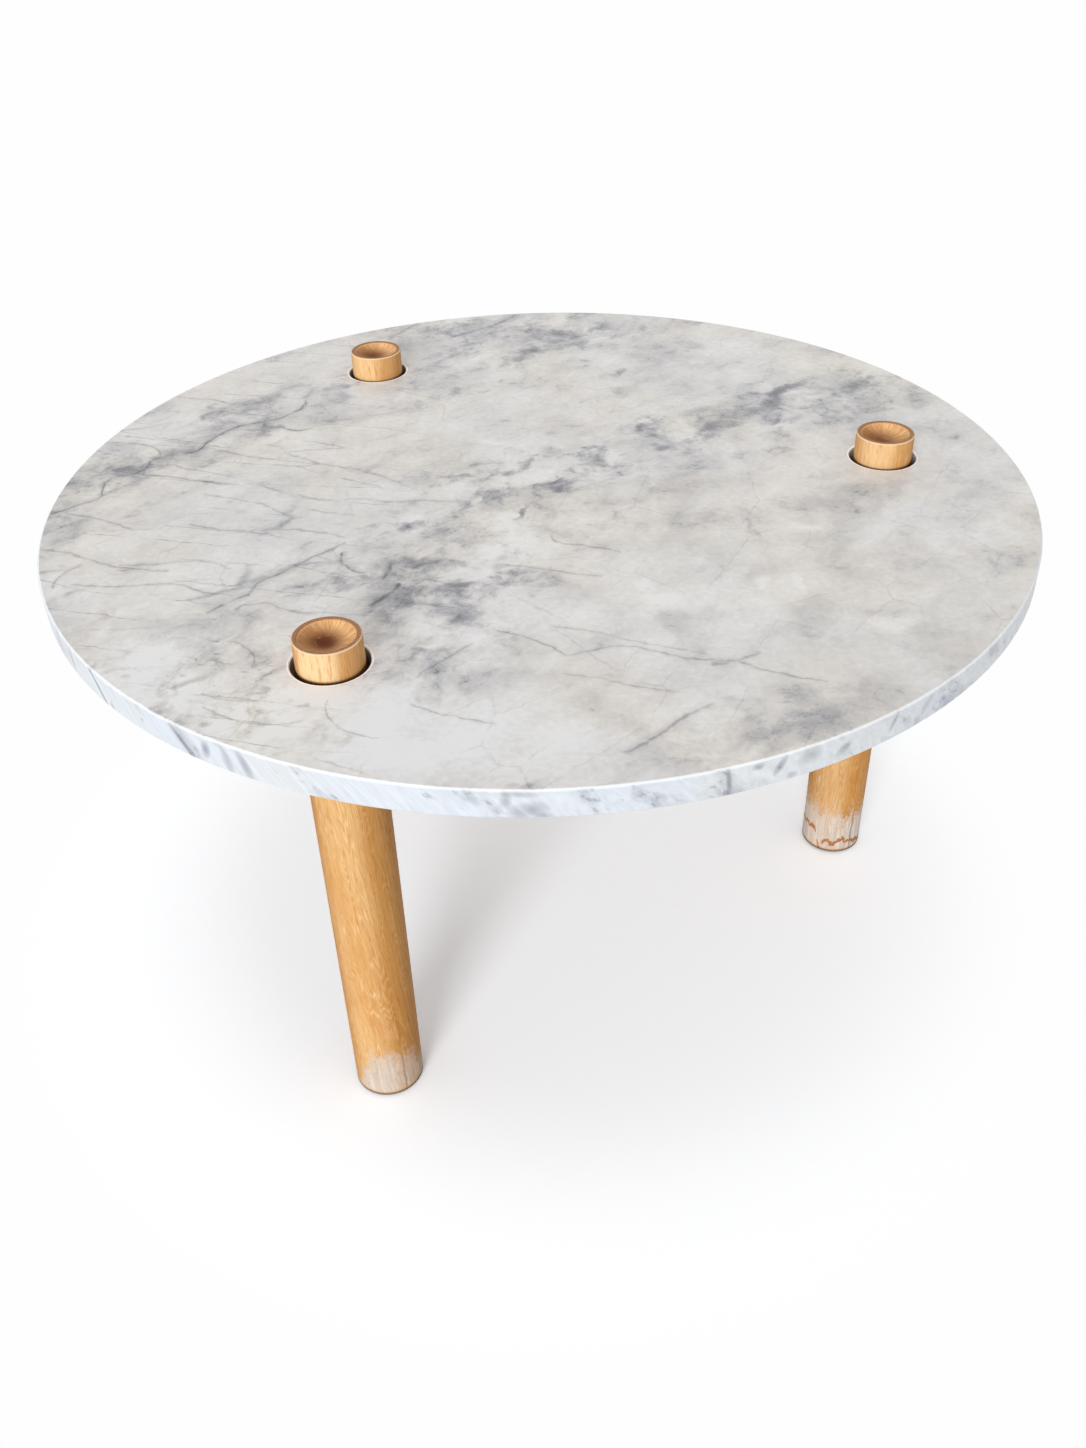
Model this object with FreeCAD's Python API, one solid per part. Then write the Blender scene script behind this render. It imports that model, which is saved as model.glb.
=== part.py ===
import FreeCAD, Part
import math
import os

os.makedirs("parts", exist_ok=True)

# A round marble cocktail table on three turned oak legs. Each leg is turned
# down to a neck that passes through a wider hole in the slab and stands proud
# of it, with a dish turned into its end. Under the slab three oak rails tie
# the legs to a central hub, and the slab lies loose on rubber pads.
#
# Millimetres, +Z up. The floor is at zero height, the table's centre is on the
# Z axis, and -Y is the side that faces the viewer.

# Marble top
top_radius = 400.0
top_thickness = 22.5
top_face_height = 428.5
top_arris = 1.6
bore_clearance = 3.75
bore_arris = 0.8

# Turned legs, placed by their distance from the slab's edge and their angle
leg_edge_distance = 105.6
leg_angles_degrees = {"front_left": 240.8, "right": 5.7, "back_left": 121.4}
leg_radius = 28.5
shoulder_arris = 1.5
foot_arris = 1.0

# Neck and the dish in its end
neck_radius = 24.0
neck_proud = 21.3
neck_arris = 0.8
dish_rim_width = 3.4
dish_lip = 0.9
dish_depth = 6.4

# Rails and hub
rail_width = 36.0
rail_depth = 50.0
rail_arris = 2.5
hub_radius = 52.0
hub_flat_margin = 1.0
hub_arris = 3.0
cope_clearance = 0.1

# Mortise and tenon joints
tenon_thickness = 14.0
tenon_edge_shoulder = 6.0
tenon_length = 30.0
tenon_arris = 1.5
mortise_relief = 1.5
mortise_clearance = 0.08

# Riven oak pegs through the tenons
peg_radius = 4.0
peg_sides = 8
peg_clearance = 0.04
peg_setback = 13.0
peg_end_inset = 0.4

# Rubber pads between the frame and the slab
bearing_pad_width = 20.0
hub_pad_side = 30.0
bearing_pad_thickness = 4.0
bearing_pad_proud = 2.0
bearing_pad_margin = 42.0
pad_seat_clearance = 0.1

# Felt pads let into the feet
felt_radius = 22.0
felt_thickness = 3.0
felt_proud = 1.0

# How far a cutting shape runs past the face that it cuts
overrun = 5.0
# How closely an edge's radius must match the one that is looked for
radius_match = 0.001

# Heights and distances that follow from the sizes above
top_underside = top_face_height - top_thickness
frame_top = top_underside - bearing_pad_proud
frame_bottom = frame_top - rail_depth
rail_middle = (frame_top + frame_bottom) / 2
pad_seat_floor = top_underside - bearing_pad_thickness
neck_top = top_face_height + neck_proud
bore_radius = neck_radius + bore_clearance
dish_mouth_radius = neck_radius - dish_rim_width
tenon_height = rail_depth - 2 * tenon_edge_shoulder
leg_circle_radius = top_radius - leg_edge_distance
leg_shoulder_line = leg_circle_radius - leg_radius
hub_shoulder_line = math.sqrt(hub_radius ** 2 - (rail_width / 2 + hub_flat_margin) ** 2)


def at(x, y, z):
    return FreeCAD.Vector(x, y, z)


origin = at(0, 0, 0)
upward = at(0, 0, 1)
sideways = at(0, 1, 0)


def post(radius, bottom, top, x=0, y=0):
    """An upright round solid between two heights."""
    return Part.makeCylinder(radius, top - bottom, at(x, y, bottom))


def block(start, end, width, bottom, top):
    """A straight bar along +X, centred on the axis, between two heights."""
    return Part.makeBox(end - start, width, top - bottom, at(start, -width / 2, bottom))


def ease_edges(solid, edge_radius, arris, heights=None):
    """Plane a narrow flat on the level round edges of one radius, at all heights or at some."""
    edges = []
    for edge in solid.Edges:
        curve = edge.Curve
        if not isinstance(curve, Part.Circle):
            continue
        if abs(curve.Radius - edge_radius) > radius_match:
            continue
        if heights and min(abs(curve.Center.z - height) for height in heights) > radius_match:
            continue
        edges.append(edge)
    return solid.makeChamfer(arris, edges)


def turn_to(shape, angle):
    """A copy of a piece that was made along +X, turned to its leg's angle."""
    turned = shape.copy()
    turned.rotate(origin, upward, angle)
    return turned


def leg_centre(angle):
    turn = math.radians(angle)
    return leg_circle_radius * math.cos(turn), leg_circle_radius * math.sin(turn)


def make_marble_top():
    """The slab, with a bore for each neck and every arris that shows eased."""
    slab = post(top_radius, top_underside, top_face_height)
    for angle in leg_angles_degrees.values():
        x, y = leg_centre(angle)
        slab = slab.cut(post(bore_radius, top_underside - overrun, top_face_height + overrun, x, y))
    slab = ease_edges(slab, top_radius, top_arris)
    return ease_edges(slab, bore_radius, bore_arris, [top_face_height])


def make_dish():
    """The hollow in a neck's end: one round bowl and a small lip at its mouth."""
    bowl_depth = dish_depth - dish_lip
    bowl_edge = dish_mouth_radius - dish_lip
    bowl_radius = (bowl_edge ** 2 + bowl_depth ** 2) / (2 * bowl_depth)
    half_turn = math.atan2(bowl_edge, bowl_radius - bowl_depth) / 2
    floor = neck_top - dish_depth
    lowest = at(0, 0, floor)
    bowl_middle = at(bowl_radius * math.sin(half_turn), 0, floor + bowl_radius * (1 - math.cos(half_turn)))
    bowl_top = at(bowl_edge, 0, neck_top - dish_lip)
    mouth = at(dish_mouth_radius, 0, neck_top)
    mouth_centre = at(0, 0, neck_top)
    outline = Part.Wire([
        Part.Arc(lowest, bowl_middle, bowl_top).toShape(),
        Part.LineSegment(bowl_top, mouth).toShape(),
        Part.LineSegment(mouth, mouth_centre).toShape(),
        Part.LineSegment(mouth_centre, lowest).toShape(),
    ])
    hollow = Part.Face(outline).revolve(origin, upward, 360)
    hollow.translate(at(leg_circle_radius, 0, 0))
    return hollow


def tenon_block(start, end, clearance):
    """A tenon along +X, or the mortise that takes it when a clearance is given."""
    half_height = tenon_height / 2 + clearance
    return block(start, end, tenon_thickness + 2 * clearance, rail_middle - half_height, rail_middle + half_height)


def leg_peg_start(reach):
    """Where the level peg of a leg joint starts, so far to one side of the rail's middle."""
    return at(leg_shoulder_line + peg_setback, -reach, rail_middle)


def hub_peg_start(height):
    """Where the upright peg of a hub joint starts."""
    return at(hub_shoulder_line - peg_setback, 0, height)


def leg_peg_bore():
    """The bore across a leg, its mortise and the tenon in it."""
    reach = leg_radius + overrun
    return Part.makeCylinder(peg_radius, 2 * reach, leg_peg_start(reach), sideways)


def hub_peg_bore():
    """The upright bore through the hub and the tenon in it."""
    return Part.makeCylinder(peg_radius, rail_depth + 2 * overrun, hub_peg_start(frame_bottom - overrun))


def riven_peg(start, direction, length):
    """A split and shaved peg: its corners run on the bore, and its flats stand clear of it."""
    corner_radius = peg_radius - peg_clearance
    corners = []
    for side in range(peg_sides + 1):
        turn = 2 * math.pi * side / peg_sides
        corners.append(at(corner_radius * math.cos(turn), corner_radius * math.sin(turn), 0))
    peg = Part.Face(Part.makePolygon(corners)).extrude(length * upward)
    peg.Placement = FreeCAD.Placement(start, FreeCAD.Rotation(upward, direction))
    return peg


def pad_places():
    """Distances of a rail's two bearing pads from the table's centre."""
    return hub_shoulder_line + bearing_pad_margin, leg_shoulder_line - bearing_pad_margin


def make_leg():
    """One turned leg: foot, post, shoulder, neck and dish, mortised and bored for its peg."""
    leg = post(leg_radius, felt_proud, frame_top, leg_circle_radius)
    leg = leg.fuse(post(neck_radius, frame_top, neck_top, leg_circle_radius))
    leg = ease_edges(leg, neck_radius, neck_arris, [neck_top])
    leg = ease_edges(leg, leg_radius, shoulder_arris, [frame_top])
    leg = ease_edges(leg, leg_radius, foot_arris, [felt_proud])
    leg = leg.cut(make_dish())
    felt_seat = post(felt_radius + pad_seat_clearance, felt_proud - overrun, felt_thickness, leg_circle_radius)
    leg = leg.cut(felt_seat)
    mortise_end = leg_shoulder_line + tenon_length + mortise_relief
    leg = leg.cut(tenon_block(leg_shoulder_line - overrun, mortise_end, mortise_clearance))
    return leg.cut(leg_peg_bore())


def make_rail():
    """One rail: chamfered bar, a shoulder scribed to the round leg, and a tenon at each end."""
    bar = block(hub_shoulder_line, leg_circle_radius, rail_width, frame_bottom, frame_top)
    long_edges = [edge for edge in bar.Edges if edge.BoundBox.YLength + edge.BoundBox.ZLength < radius_match]
    bar = bar.makeChamfer(rail_arris, long_edges)
    leg_cope = post(leg_radius + cope_clearance, frame_bottom - overrun, frame_top + overrun, leg_circle_radius)
    bar = bar.cut(leg_cope)
    tenon = tenon_block(hub_shoulder_line - tenon_length, leg_shoulder_line + tenon_length, 0)
    end_edges = [edge for edge in tenon.Edges if edge.BoundBox.XLength < radius_match]
    tenon = tenon.makeChamfer(tenon_arris, end_edges)
    rail = bar.fuse(tenon).removeSplitter()
    rail = rail.cut(leg_peg_bore())
    rail = rail.cut(hub_peg_bore())
    half_seat = bearing_pad_width / 2 + pad_seat_clearance
    for x in pad_places():
        rail = rail.cut(block(x - half_seat, x + half_seat, rail_width, pad_seat_floor, frame_top + overrun))
    return rail


def make_hub():
    """The turned hub, with a flat, a mortise and a peg bore for each rail and a seat for its pad."""
    hub = post(hub_radius, frame_bottom, frame_top)
    hub = ease_edges(hub, hub_radius, hub_arris, [frame_bottom])
    mortise_start = hub_shoulder_line - tenon_length - mortise_relief
    mortise = tenon_block(mortise_start, hub_radius + overrun, mortise_clearance)
    flat_cut = block(hub_shoulder_line, hub_radius + overrun, 2 * hub_radius,
                     frame_bottom - overrun, frame_top + overrun)
    for angle in leg_angles_degrees.values():
        for cut in (flat_cut, mortise, hub_peg_bore()):
            hub = hub.cut(turn_to(cut, angle))
    half_seat = hub_pad_side / 2 + pad_seat_clearance
    return hub.cut(block(-half_seat, half_seat, 2 * half_seat, pad_seat_floor, frame_top + overrun))


def make_leg_peg():
    """The level peg of a leg joint, pared to the leg's round outside."""
    envelope = post(leg_radius - peg_end_inset, frame_bottom, frame_top, leg_circle_radius)
    return riven_peg(leg_peg_start(leg_radius), sideways, 2 * leg_radius).common(envelope)


def make_hub_peg():
    """The upright peg of a hub joint, ending just inside the hub's faces."""
    return riven_peg(hub_peg_start(frame_bottom + peg_end_inset), upward, rail_depth - 2 * peg_end_inset)


def make_bearing_pad(x):
    """A strip of rubber across a rail, in its groove, that carries the slab."""
    half_width = bearing_pad_width / 2
    return block(x - half_width, x + half_width, rail_width - 2 * rail_arris, pad_seat_floor, top_underside)


def make_hub_pad():
    """A square of rubber in the top of the hub, under the middle of the slab."""
    return block(-hub_pad_side / 2, hub_pad_side / 2, hub_pad_side, pad_seat_floor, top_underside)


def make_felt_pad():
    """A felt disc let into a foot, standing just proud of it."""
    return post(felt_radius, 0, felt_thickness, leg_circle_radius)


def make_table():
    """Every piece of the table by name."""
    pieces = {"marble_top": make_marble_top(), "hub": make_hub(), "bearing_pad_hub": make_hub_pad()}
    inner_pad, outer_pad = [make_bearing_pad(x) for x in pad_places()]
    arm = {
        "leg": make_leg(),
        "rail": make_rail(),
        "leg_peg": make_leg_peg(),
        "hub_peg": make_hub_peg(),
        "bearing_pad_inner": inner_pad,
        "bearing_pad_outer": outer_pad,
        "foot_pad": make_felt_pad(),
    }
    for place, angle in leg_angles_degrees.items():
        for kind, shape in arm.items():
            pieces[f"{kind}_{place}"] = turn_to(shape, angle)
    return pieces


for name, shape in make_table().items():
    shape.exportStep(f"parts/{name}.step")
    print(f"{name}: {len(shape.Solids)} solid, {shape.Volume / 1000:.2f} cm3, valid {shape.isValid()}")
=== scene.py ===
# %% [markdown]
# # A round marble cocktail table on three turned oak legs
#
# The table is a slab of grey-veined marble that lies loose on a hidden oak frame. Three round legs are
# turned down to necks, which stand up through holes in the slab and end in small dishes. The packed
# model brings every solid piece at its real size. This script dresses those pieces in stone, oak, rubber
# and felt, one piece at a time, and then sets up the photograph's camera and light.

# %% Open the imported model
import math

import bmesh
import bpy
from mathutils import Matrix, Vector


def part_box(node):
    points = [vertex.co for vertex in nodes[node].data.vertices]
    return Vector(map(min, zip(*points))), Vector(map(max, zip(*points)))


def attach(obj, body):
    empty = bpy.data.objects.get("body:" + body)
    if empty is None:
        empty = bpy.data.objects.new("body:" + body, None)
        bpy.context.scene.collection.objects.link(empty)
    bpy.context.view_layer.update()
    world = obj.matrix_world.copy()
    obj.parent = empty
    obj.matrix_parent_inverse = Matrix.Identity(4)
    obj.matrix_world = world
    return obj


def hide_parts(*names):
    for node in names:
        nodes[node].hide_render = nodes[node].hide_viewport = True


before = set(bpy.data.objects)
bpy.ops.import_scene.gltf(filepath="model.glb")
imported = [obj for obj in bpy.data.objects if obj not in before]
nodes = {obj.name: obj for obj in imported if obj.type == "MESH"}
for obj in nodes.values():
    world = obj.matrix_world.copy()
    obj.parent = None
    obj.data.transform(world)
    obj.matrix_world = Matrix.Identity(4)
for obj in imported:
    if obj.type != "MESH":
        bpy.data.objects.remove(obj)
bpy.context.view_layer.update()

slab_low, slab_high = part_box("marble_top")
print("pieces in the packed model:", len(nodes), "and the slab's face is", round(slab_high.z, 4), "m high")

# %% [markdown]
# ## The camera
#
# A photograph fixes the camera's place, its turn and its lens. Here they come from matching the slab's
# edge, the holes and the feet. Blender wants a matrix whose columns are the camera's right, its up
# and the opposite of its line of sight, so the three turns are written as those vectors.

# %% Stand the camera where the photographer stood
CAMERA_PLACE = Vector((0.0, -1.0018, 0.9289))
CAMERA_YAW = math.radians(-0.107)
CAMERA_DOWN = math.radians(36.88)
CAMERA_ROLL = math.radians(-1.835)
CAMERA_LENS = 32.98


def camera_matrix():
    """The camera's axes from its turn, its tilt and its roll."""
    sight = Vector((math.sin(CAMERA_YAW) * math.cos(CAMERA_DOWN),
                    math.cos(CAMERA_YAW) * math.cos(CAMERA_DOWN),
                    -math.sin(CAMERA_DOWN)))
    level = Vector((math.cos(CAMERA_YAW), -math.sin(CAMERA_YAW), 0))
    rise = level.cross(sight)
    right = math.cos(CAMERA_ROLL) * level + math.sin(CAMERA_ROLL) * rise
    up = -math.sin(CAMERA_ROLL) * level + math.cos(CAMERA_ROLL) * rise
    turn = Matrix((right, up, -sight)).transposed().to_4x4()
    return Matrix.Translation(CAMERA_PLACE) @ turn


camera = bpy.data.objects.new("camera", bpy.data.cameras.new("camera"))
bpy.context.scene.collection.objects.link(camera)
camera.matrix_world = camera_matrix()
camera.data.lens = CAMERA_LENS
bpy.context.scene.camera = camera
bpy.context.scene.view_settings.view_transform = "Standard"
print("camera to table:", round((CAMERA_PLACE - Vector((0, 0, slab_high.z))).length, 3), "m")

# %% [markdown]
# ## Shader sums in plain Python
#
# A procedural material is a long sum: noise, minus a half, times so much, added to a place. Wiring that
# node by node is hard to read. The small class below wraps one output of a node, so that `a * 2 + b` adds
# the Math nodes by itself. Colours and places go through Vector Math, because a plain Math node would
# turn them grey. Every other node comes from one method that sets the node up first and then feeds it.

# %% A wire that can be added and multiplied
class Wire:
    """One output of a shader node, ready for sums."""

    def __init__(self, finish, socket):
        self.finish = finish
        self.socket = socket

    def sum(self, operation, first, second):
        terms = (first, second)
        places = any(isinstance(t, tuple) or isinstance(t, Wire) and t.socket.type != "VALUE" for t in terms)
        kind = "ShaderNodeVectorMath" if places else "ShaderNodeMath"
        return self.finish.node(kind, {"operation": operation}, {0: first, 1: second})

    def __add__(self, other):
        return self.sum("ADD", self, other)

    def __radd__(self, other):
        return self.sum("ADD", other, self)

    def __sub__(self, other):
        return self.sum("SUBTRACT", self, other)

    def __rsub__(self, other):
        return self.sum("SUBTRACT", other, self)

    def __mul__(self, other):
        return self.sum("MULTIPLY", self, other)

    def __rmul__(self, other):
        return self.sum("MULTIPLY", other, self)

    def __truediv__(self, other):
        return self.sum("DIVIDE", self, other)

    def __pow__(self, other):
        return self.sum("POWER", self, other)

    def __abs__(self):
        return self.sum("ABSOLUTE", self, 0)


# %% A finish, which is a material and the tools to build it
MM = 1000


def tint(red, green, blue):
    """A colour as a painter mixes it on screen, 0 to 255, turned into the light that a shader wants."""
    def light(value):
        share = value / 255
        return share / 12.92 if share <= 0.04045 else ((share + 0.055) / 1.055) ** 2.4
    return light(red), light(green), light(blue)


class Finish:
    """A material under construction."""

    def __init__(self, name):
        self.material = bpy.data.materials.new(name)
        self.material.use_nodes = True
        self.tree = self.material.node_tree
        self.surface = self.tree.nodes["Principled BSDF"]
        self.place = self.node("ShaderNodeTexCoord", {}, {}, "Object") * MM

    def node(self, kind, settings, sockets, output=0):
        """Adds a node, sets it up, feeds its sockets and gives back one of its outputs."""
        made = self.tree.nodes.new(kind)
        for name, value in settings.items():
            if name == "stops":
                self.lay_stops(made.color_ramp, value)
            elif name == "route":
                self.lay_route(made.mapping, value)
            else:
                setattr(made, name, value)
        for name, value in sockets.items():
            self.feed(made.inputs[name], value)
        return Wire(self, made.outputs[output])

    def lay_stops(self, ramp, stops):
        while len(ramp.elements) < len(stops):
            ramp.elements.new(0.5)
        for element, (position, colour) in zip(ramp.elements, stops):
            element.position = position
            element.color = (*colour, 1)

    def lay_route(self, mapping, points):
        mapping.extend = "HORIZONTAL"
        curve = mapping.curves[0]
        while len(curve.points) < len(points):
            curve.points.new(0.5, 0.5)
        for point, (along, value) in zip(curve.points, points):
            point.location = (along, value)
        mapping.update()

    def feed(self, socket, value):
        if isinstance(value, Wire):
            self.tree.links.new(value.socket, socket)
        elif socket.type == "RGBA":
            socket.default_value = (*value, 1)
        elif socket.type == "VECTOR" and not isinstance(value, (tuple, Vector)):
            socket.default_value = (value, value, value)
        else:
            socket.default_value = value

    def noise(self, place, size, detail=2, rough=0.5, output="Fac"):
        """Cloudy noise whose lumps are about so many millimetres across."""
        sockets = {"Vector": place, "Scale": 1 / size, "Detail": detail, "Roughness": rough}
        return self.node("ShaderNodeTexNoise", {}, sockets, output)

    def stray(self, place, size, reach, detail=2):
        """A shift of the place, up to about so many millimetres, that bends what is drawn there."""
        return (self.noise(place, size, detail, output="Color") - 0.5) * (2 * reach)

    def fade(self, value, start, end, low=0.0, high=1.0):
        """A soft step from low at the start to high at the end."""
        sockets = {"Value": value, "From Min": start, "From Max": end, "To Min": low, "To Max": high}
        return self.node("ShaderNodeMapRange", {"interpolation_type": "SMOOTHSTEP"}, sockets)

    def parts(self, place):
        """The three coordinates of a place."""
        return [self.node("ShaderNodeSeparateXYZ", {}, {0: place}, axis) for axis in "XYZ"]

    def join(self, x, y, z):
        return self.node("ShaderNodeCombineXYZ", {}, {0: x, 1: y, 2: z})

    def stretch(self, place, location=(0, 0, 0), turn=0.0, size=(1, 1, 1)):
        """The place seen from a frame that is moved, turned about the upright and stretched."""
        sockets = {"Vector": place, "Location": location, "Rotation": (0, 0, turn), "Scale": size}
        return self.node("ShaderNodeMapping", {"vector_type": "TEXTURE"}, sockets)

    def mix(self, share, first, second):
        """The first colour where the share is 0 and the second where it is 1."""
        return self.node("ShaderNodeMix", {"data_type": "RGBA"}, {0: share, 6: first, 7: second}, 2)

    def curve(self, value, points):
        """A value read off a curve drawn through the given points."""
        return self.node("ShaderNodeFloatCurve", {"route": points}, {"Value": value})

    def bump(self, height, depth, under=None):
        """Relief whose full height is so many metres deep, laid over what is under it."""
        sockets = {"Height": height, "Distance": depth, "Strength": 1.0}
        if under:
            sockets["Normal"] = under
        return self.node("ShaderNodeBump", {}, sockets)

    def set(self, **values):
        """Feeds the surface shader, with underscores for the spaces in its sockets' names."""
        for name, value in values.items():
            self.feed(self.surface.inputs[name.replace("_", " ")], value)


def dress(piece, finish):
    """Gives a piece one finish all over."""
    piece.data.materials.clear()
    piece.data.materials.append(finish.material)


print("a mid grey of 128 is a light of", round(tint(128, 128, 128)[0], 3))

# %% [markdown]
# ## Where the legs stand
#
# The three legs stand on one circle round the middle of the table. The stone needs their places for its
# bores, and the oak and the felt need them too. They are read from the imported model's own pieces, so the
# finishes follow when a leg is moved. Every finish is drawn in millimetres, as a maker would draw it.

# %% The legs' places and the heights of the slab
LEG_NAMES = ("front_left", "right", "back_left")
EDGE = slab_high.x * MM
FACE = slab_high.z * MM
SLAB_MIDDLE = (slab_low.z + slab_high.z) / 2 * MM
SLAB_HALF = (slab_high.z - slab_low.z) / 2 * MM
NECK_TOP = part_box("leg_front_left")[1].z * MM


def leg_centre(place_name):
    """The foot of a leg's axis, in millimetres."""
    low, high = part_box("leg_" + place_name)
    return Vector((low.x + high.x, low.y + high.y, 0)) / 2 * MM


def leg_turn(place_name):
    """The leg's bearing from the middle of the table, counted from the right against the clock."""
    centre = leg_centre(place_name)
    return math.atan2(centre.y, centre.x)


for place_name in LEG_NAMES:
    print("leg", place_name, "stands at", [round(value, 1) for value in leg_centre(place_name)], "mm")

# %% [markdown]
# ## The slab's stone
#
# Marble is a limestone that was pressed until it flowed, so its veins and clouds are drawn out along
# bands and broken by small steps. Noise alone gives a stone of the right kind, but never this stone. So
# the veins and clouds that the eye remembers are listed one by one, in millimetres seen from above: a vein
# is a list of points, and a cloud is an ellipse. Noise then bends them all, thins them and breaks them.

# %% Listed veins and clouds
# Each vein: strength, half width, then its points from one end to the other
VEINS = [
    (0.55, 2.2, [(-397, -30), (-384, -20), (-368, -8), (-360, 2)]),
    (0.8, 1.5, [(-362, -4), (-364, 24), (-361, 34), (-345, 39), (-336, 50), (-333, 66), (-326, 72)]),
    (0.55, 1.3, [(-345, 39), (-320, 34), (-300, 27), (-278, 19), (-250, 12)]),
    (0.9, 2.4, [(-309, 76), (-299, 80), (-292, 101), (-278, 121), (-263, 134), (-249, 138)]),
    (0.75, 1.5, [(-250, 139), (-240, 142), (-222, 160), (-216, 172), (-217, 188)]),
    (0.7, 1.6, [(-249, 142), (-245, 128), (-232, 126), (-215, 117), (-198, 124)]),
    (0.4, 1.2, [(-343, 205), (-322, 197), (-305, 193), (-284, 180)]),
    (0.45, 1.2, [(-385, 105), (-352, 98), (-336, 88), (-327, 72)]),
    (0.3, 1.2, [(-372, 118), (-335, 106), (-300, 92)]),
    (0.3, 1.4, [(-292, 88), (-262, 72), (-236, 62), (-150, 32), (-100, -10)]),
    (0.3, 1.3, [(-278, -2), (-245, -15), (-222, -27), (-208, -40), (-190, -46)]),
    (0.33, 1.4, [(-200, -8), (-168, -21), (-145, -20), (-118, -28), (-88, -26), (-60, -34)]),
    (0.27, 1.2, [(-186, -35), (-168, -42), (-146, -48)]),
    (0.35, 1.3, [(-385, -30), (-352, -42), (-334, -53), (-326, -60), (-306, -61)]),
    (0.33, 1.5, [(-280, -53), (-258, -63), (-232, -68), (-188, -70), (-150, -86)]),
    (0.42, 1.5, [(-388, -88), (-368, -95), (-340, -110), (-312, -122), (-280, -128)]),
    (0.27, 1.4, [(-320, -117), (-290, -117), (-262, -114), (-232, -128)]),
    (0.33, 1.5, [(-350, -145), (-310, -149), (-270, -148), (-246, -160), (-224, -166)]),
    (0.5, 2.1, [(-150, -92), (-165, -108), (-193, -135), (-210, -153), (-213, -167)]),
    (0.5, 2.2, [(-212, -165), (-224, -174), (-240, -190)]),
    (0.4, 1.5, [(-221, -187), (-210, -180), (-198, -179), (-186, -188), (-160, -196)]),
    (0.75, 1.8, [(-151, -108), (-149, -124), (-142, -134), (-132, -143)]),
    (0.6, 1.8, [(-111, -128), (-114, -140), (-118, -152)]),
    (1.0, 2.8, [(-104, -156), (-107, -165), (-114, -178), (-124, -189)]),
    (0.35, 1.3, [(-86, -281), (-74, -268), (-60, -252), (-48, -240)]),
    (0.4, 1.3, [(-34, -224), (-15, -232), (0, -243), (18, -259)]),
    (0.35, 1.3, [(18, -259), (36, -252), (56, -249), (96, -266), (128, -271)]),
    (0.22, 1.2, [(5, -221), (30, -228), (56, -240), (110, -262)]),
    (0.25, 1.2, [(12, -280), (40, -287), (64, -298), (90, -306)]),
    (0.28, 1.2, [(-88, -309), (-68, -319), (-30, -334)]),
    (0.28, 1.3, [(-30, -133), (-8, -139), (20, -149), (46, -156)]),
    (0.35, 1.5, [(8, -92), (14, -103), (34, -109), (62, -122)]),
    (0.25, 1.2, [(-88, -186), (-62, -194), (-36, -202)]),
    (0.45, 2.2, [(46, -368), (70, -351), (86, -334), (108, -318)]),
    (0.35, 1.4, [(130, -272), (150, -285), (186, -298)]),
    (0.35, 2.6, [(112, -274), (128, -271), (146, -262)]),
    (0.55, 2.6, [(-84, 336), (-62, 351), (-38, 369), (-18, 397)]),
    (0.4, 2.4, [(-150, 334), (-136, 358), (-122, 380)]),
    (0.4, 1.4, [(-362, -150), (-360, -130), (-348, -114)]),
    (0.3, 1.3, [(-226, -289), (-206, -298), (-184, -300)]),
    (0.3, 1.3, [(-222, -304), (-196, -322), (-176, -326), (-152, -324)]),
    (0.3, 1.3, [(-140, -300), (-137, -322), (-122, -338), (-96, -344)]),
    (0.35, 1.4, [(-218, -228), (-200, -242), (-196, -262)]),
]
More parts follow.
